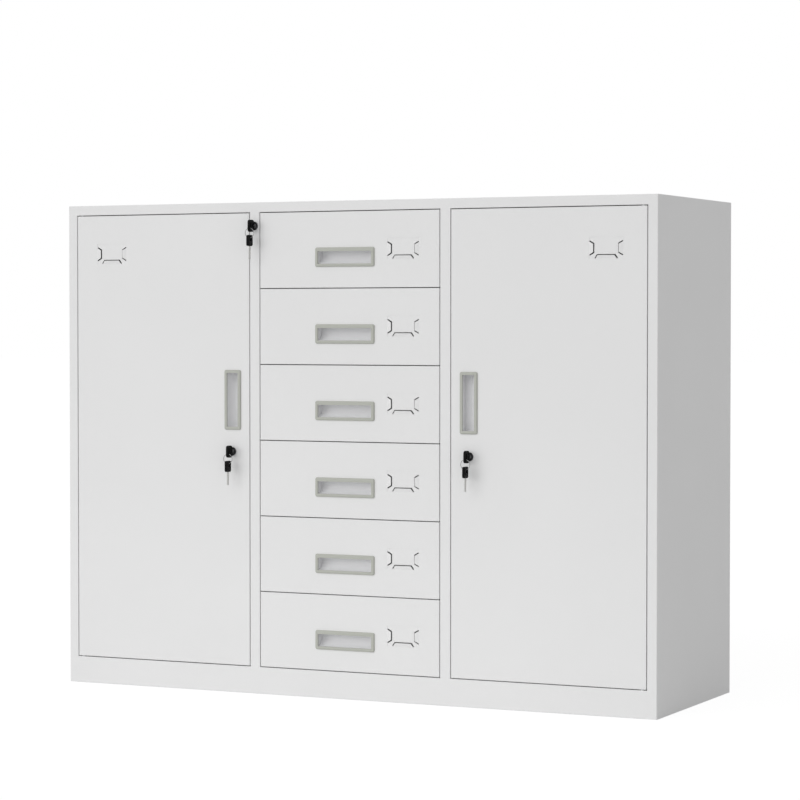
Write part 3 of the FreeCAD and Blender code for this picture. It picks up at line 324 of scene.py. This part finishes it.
# Key blade along -Z from the origin. Its half width is full, less a quarter circle at the tip and a triangular cut
# at each bit, as deep as the bit's share of bitDepth. Its faces lie at half the thickness, less a cosine groove
# along the middle.
def bladeSurface(length, look):
    down = np.arange(0, length + look["rowStep"] / 2, look["rowStep"])
    down[-1] = length
    fromTip = length - down
    full = look["width"] / 2
    tipDrop = np.clip(look["tip"] - fromTip, 0, look["tip"])
    halfWidth = full - look["tip"] + np.sqrt(look["tip"] ** 2 - tipDrop ** 2)
    depths = look["bitDepth"] * np.array(look["bits"])
    places = look["bitPitch"] * (1 + np.arange(len(depths)))
    slope = (depths + look["bitDepth"]) / (look["bitPitch"] / 2)
    cuts = depths[None, :] - np.abs(fromTip[:, None] - places[None, :]) * slope[None, :]
    halfWidth = np.minimum(halfWidth, full - np.maximum(cuts.max(1), 0))[:, None]
    inner = np.linspace(-look["inner"], look["inner"], look["innerSteps"] + 1)[None, :]
    outer = np.linspace(0, 1, look["outerSteps"] + 1)[None, :]
    reach = look["inner"] + (halfWidth - look["bevel"] - look["inner"]) * outer
    middle = np.broadcast_to(inner, (len(down), inner.shape[1]))
    across = np.concatenate([-reach[:, :0:-1], middle, reach[:, 1:]], 1)
    wave = np.clip(np.abs(across) / look["grooveHalf"], 0, 1)
    lift = look["thickness"] / 2 - look["groove"] * (0.5 + 0.5 * np.cos(np.pi * wave))
    edgeLift = np.full((len(down), 1), look["thickness"] / 2 - look["bevel"])
    front = np.stack([np.concatenate([lift, edgeLift], 1), np.concatenate([across, halfWidth], 1)], -1)
    section = np.concatenate([front, -front], 1)
    heights = np.broadcast_to(-down[:, None, None], section.shape[:2] + (1,))
    return np.concatenate([section, heights], -1)[:, ::-1]  # this way round the faces point outward


# Faces for rings of points, with a fan to a middle point at each end; returns points and faces.
def closedTube(rings):
    rows, columns = rings.shape[:2]
    points = np.concatenate([rings.reshape(-1, 3), rings[:1].mean(1), rings[-1:].mean(1)])
    faces = gridFaces(rows, columns, False).tolist()
    column = np.arange(columns)
    after = (column + 1) % columns
    first, last = rows * columns, rows * columns + 1
    base = (rows - 1) * columns
    faces += np.stack([after, column, np.full(columns, first)], -1).tolist()
    faces += np.stack([base + column, base + after, np.full(columns, last)], -1).tolist()
    return points, faces


splitRing = {
    "wire": 0.00036, "coilGap": 0.0004, "turns": 1.96, "steps": 190, "sides": 12, "crossing": 0.35,
    "endStart": 0.4, "endSteps": 1.5,
}


# Split ring: a circle in XZ run through nearly twice. Its Y goes smoothly from one coil's plane to the other's over
# the crossing, an angle in radians. A circle of the wire's radius is carried along it, and rounded off at both ends
# by the square root of the steps from the end.
def splitRingSurface(centre, radius, look):
    turn = np.linspace(0, 2 * np.pi * look["turns"], look["steps"])
    half = np.pi * look["turns"]
    blend = np.clip((turn - half) / look["crossing"] + 0.5, 0, 1)
    shift = look["coilGap"] * (2 * blend * blend * (3 - 2 * blend) - 1)
    outward = np.stack([np.cos(turn), np.zeros_like(turn), np.sin(turn)], -1)
    line = np.array(centre) + radius * outward + np.stack([0 * turn, shift, 0 * turn], -1)
    side = np.array([0.0, 1.0, 0.0])
    around = np.linspace(0, 2 * np.pi, look["sides"], endpoint=False)
    fromEnd = np.minimum(np.arange(look["steps"]), np.arange(look["steps"])[::-1])
    taper = np.sqrt(np.clip((fromEnd + look["endStart"]) / look["endSteps"], 0, 1))
    size = look["wire"] * taper[:, None, None]
    circle = np.cos(around)[None, :, None] * outward[:, None, :] + np.sin(around)[None, :, None] * side
    return line[:, None, :] + size * circle


insertedKey = {
    "headDepth": 0.0164, "corner": 0.005, "slotReach": 0.0033, "slotHalfDepth": 0.0017, "slotHalfHeight": 0.00595,
    "slotCorner": 0.0014, "panelHalfDepth": 0.0036, "panelMargin": 0.0032, "panelBack": 0.0022,
}


# Head and blade of the key in a lock, from the box of its CAD node.
def keyInLock(side):
    node = f"lock_{side}_key"
    low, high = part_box(node)
    axis = (low + high) / 2
    depth, height = insertedKey["headDepth"], high.z - low.z
    outer = {"halfDepth": depth / 2, "halfHeight": height / 2, "corner": insertedKey["corner"],
             "centre": (low.y + depth / 2, axis.z)}
    slot = {"halfDepth": insertedKey["slotHalfDepth"], "halfHeight": insertedKey["slotHalfHeight"],
            "corner": insertedKey["slotCorner"], "centre": (low.y + insertedKey["slotReach"], axis.z)}
    panel = {"halfDepth": insertedKey["panelHalfDepth"], "halfHeight": height / 2 - insertedKey["panelMargin"],
             "centre": (low.y + depth - insertedKey["panelBack"] - insertedKey["panelHalfDepth"], axis.z)}
    points = headSurface(outer, slot, panel, keyHead) + np.array([axis.x, 0, 0])
    faces = gridFaces(*points.shape[:2], True).tolist()
    head = newPiece(f"keyHead_{side}", points, faces, finishOf["key_plastic"], f"lock_{side}")
    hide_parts(node)
    rings = bladeSurface(high.y - low.y - depth, keyBlade)
    rings = np.stack([rings[..., 0], -rings[..., 2], rings[..., 1]], -1)
    points, faces = closedTube(rings + np.array([axis.x, low.y + depth, axis.z]))
    newPiece(f"keyBlade_{side}", points, faces, bladeSteel, f"lock_{side}")


spareKey = {
    "corner": 0.0034, "slotHalfDepth": 0.003, "slotHalfHeight": 0.00175, "slotCorner": 0.0014, "slotDrop": 0.0095,
    "headHeight": 0.0202, "panelMargin": 0.0026, "panelBottom": 0.0024, "panelHeight": 0.0075,
}


# Head and blade of the spare key, from the box of its CAD node.
def keyOnRing(side):
    node = f"lock_{side}_spare_key"
    low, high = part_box(node)
    axis = (low + high) / 2
    depth, height = high.y - low.y, spareKey["headHeight"]
    bottom = high.z - height
    outer = {"halfDepth": depth / 2, "halfHeight": height / 2, "corner": spareKey["corner"],
             "centre": (axis.y, bottom + height / 2)}
    slot = {"halfDepth": spareKey["slotHalfDepth"], "halfHeight": spareKey["slotHalfHeight"],
            "corner": spareKey["slotCorner"], "centre": (axis.y, high.z - spareKey["slotDrop"])}
    panel = {"halfDepth": depth / 2 - spareKey["panelMargin"], "halfHeight": spareKey["panelHeight"] / 2,
             "centre": (axis.y, bottom + spareKey["panelBottom"] + spareKey["panelHeight"] / 2)}
    points = headSurface(outer, slot, panel, keyHead) + np.array([axis.x, 0, 0])
    faces = gridFaces(*points.shape[:2], True).tolist()
    head = newPiece(f"spareKeyHead_{side}", points, faces, finishOf["key_plastic"], f"spare_{side}")
    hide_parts(node)
    rings = bladeSurface(bottom - low.z, keyBlade)
    points, faces = closedTube(rings + np.array([axis.x, axis.y, bottom]))
    newPiece(f"spareKeyBlade_{side}", points, faces, bladeSteel, f"spare_{side}")


# Split ring in place of the plain CAD ring.
def ringOnKey(side):
    node = f"lock_{side}_ring"
    low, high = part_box(node)
    wire = (high.y - low.y) / 2
    rings = splitRingSurface((low + high) / 2, (high.x - low.x) / 2 - wire, splitRing)
    points, faces = closedTube(rings)
    ring = newPiece(f"splitRing_{side}", points, faces, finishOf["ring_wire"], f"ring_{side}")
    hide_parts(node)


for side in ("left", "right", "gang"):
    keyInLock(side)
    keyOnRing(side)
    ringOnKey(side)
print("keys and rings built")


# Studio: a pale floor, a soft lamp from the left, a low strip in front, two soft suns from above and in front, and
# an even surround. Angles are in degrees.
floorPaper = {"colour": (0.85, 0.85, 0.85), "roughness": 0.9, "specular": 0.1}
studio = {
    "floorHalf": 40.0, "surround": 0.55, "seenGlow": 1.08, "seenShare": 0.85,
    "keyAngle": 45.0, "keyHeight": 12.0, "keyDistance": 14.0, "keySize": 7.0, "keyPower": 280.0, "keyAim": 0.45,
    "softAngle": 45.0, "frontTilt": 60.0, "frontTurn": 20.0, "frontPower": 0.55, "topTilt": 35.0, "topPower": 0.28,
    "fillPlace": (-0.1, -0.75, 0.1), "fillSize": (1.6, 0.12), "fillPower": 0.3,
}


# The surround and the floor give a studio's soft grey light, and most of what is seen of them is plain white.
def seenByCamera(tree, lit, seen, share, output):
    path = tree.nodes.new("ShaderNodeLightPath")
    part = tree.nodes.new("ShaderNodeMath")
    part.operation = "MULTIPLY"
    part.inputs[1].default_value = share
    mix = tree.nodes.new("ShaderNodeMixShader")
    tree.links.new(path.outputs["Is Camera Ray"], part.inputs[0])
    tree.links.new(part.outputs["Value"], mix.inputs["Fac"])
    tree.links.new(lit, mix.inputs[1])
    tree.links.new(seen, mix.inputs[2])
    tree.links.new(mix.outputs["Shader"], tree.nodes[output].inputs["Surface"])


# Plain floor under the cabinet.
def studioFloor():
    half = studio["floorHalf"]
    mesh = bpy.data.meshes.new("studioFloor")
    mesh.from_pydata([(-half, -half, 0), (half, -half, 0), (half, half, 0), (-half, half, 0)], [], [(0, 1, 2, 3)])
    finish, tree, shader = newFinish("floorPaper", floorPaper)
    glow = tree.nodes.new("ShaderNodeEmission")
    glow.inputs["Strength"].default_value = studio["seenGlow"]
    seenByCamera(tree, shader.outputs["BSDF"], glow.outputs["Emission"], studio["seenShare"], "Material Output")
    mesh.materials.append(finish)
    floor = bpy.data.objects.new("studioFloor", mesh)
    scene.collection.objects.link(floor)


# Soft lamp at a place, pointed at another; one size makes a disc and two a rectangle.
def areaLamp(name, place, aim, power, size):
    lamp = bpy.data.lights.new(name, "AREA")
    lamp.shape = "DISK" if len(size) == 1 else "RECTANGLE"
    lamp.size = size[0]
    lamp.size_y = size[-1]
    lamp.energy = power
    holder = bpy.data.objects.new(name, lamp)
    holder.location = place
    holder.rotation_euler = (Vector(aim) - Vector(place)).to_track_quat("-Z", "Y").to_euler()
    holder.visible_camera = False
    scene.collection.objects.link(holder)


# Very soft sunlight: tilt is its angle from straight down, and turn swings it from the front to the left.
def softSun(name, tilt, turn, power):
    lamp = bpy.data.lights.new(name, "SUN")
    lamp.energy = power
    lamp.angle = math.radians(studio["softAngle"])
    tilt, turn = math.radians(tilt), math.radians(turn)
    away = Vector((math.sin(tilt) * math.sin(turn), math.sin(tilt) * math.cos(turn), -math.cos(tilt)))
    holder = bpy.data.objects.new(name, lamp)
    holder.rotation_euler = away.to_track_quat("-Z", "Y").to_euler()
    scene.collection.objects.link(holder)


# The lamps and the surround. The key lamp stands keyHeight above the level and keyAngle left of straight in front.
def studioLights():
    turn, rise = math.radians(studio["keyAngle"]), math.radians(studio["keyHeight"])
    toKey = Vector((-math.sin(turn) * math.cos(rise), -math.cos(turn) * math.cos(rise), math.sin(rise)))
    middle = Vector((0, faceY, studio["keyAim"]))
    areaLamp("keyLamp", middle + studio["keyDistance"] * toKey, middle, studio["keyPower"], (studio["keySize"],))
    fill = studio["fillPlace"]
    areaLamp("floorFill", fill, (fill[0], 0, fill[2]), studio["fillPower"], studio["fillSize"])
    softSun("frontSky", studio["frontTilt"], studio["frontTurn"], studio["frontPower"])
    softSun("topSky", studio["topTilt"], 0, studio["topPower"])
    world = bpy.data.worlds.new("surround")
    world.use_nodes = True
    scene.world = world
    tree = world.node_tree
    lit = tree.nodes["Background"]
    lit.inputs["Color"].default_value = (1, 1, 1, 1)
    lit.inputs["Strength"].default_value = studio["surround"]
    seen = tree.nodes.new("ShaderNodeBackground")
    seen.inputs["Color"].default_value = (1, 1, 1, 1)
    seenByCamera(tree, lit.outputs["Background"], seen.outputs["Background"], 1.0, "World Output")


photoCamera = {
    "place": (2.1965, -4.59, 0.6795), "yaw": 25.471, "pitch": -1.612, "lens": 122.841, "sensor": 36.0,
    "farEnd": 200.0,
}


# Camera at the photograph's place and angle.
def placeCamera():
    lens = bpy.data.cameras.new("photoCamera")
    lens.lens = photoCamera["lens"]
    lens.sensor_width = photoCamera["sensor"]
    lens.clip_end = photoCamera["farEnd"]
    camera = bpy.data.objects.new("photoCamera", lens)
    camera.location = photoCamera["place"]
    level = 90  # turns Blender's camera from straight down to the horizon
    camera.rotation_euler = Euler((math.radians(level + photoCamera["pitch"]), 0, math.radians(photoCamera["yaw"])))
    scene.collection.objects.link(camera)
    scene.camera = camera


studioFloor()
studioLights()
placeCamera()
print("studio and camera ready")
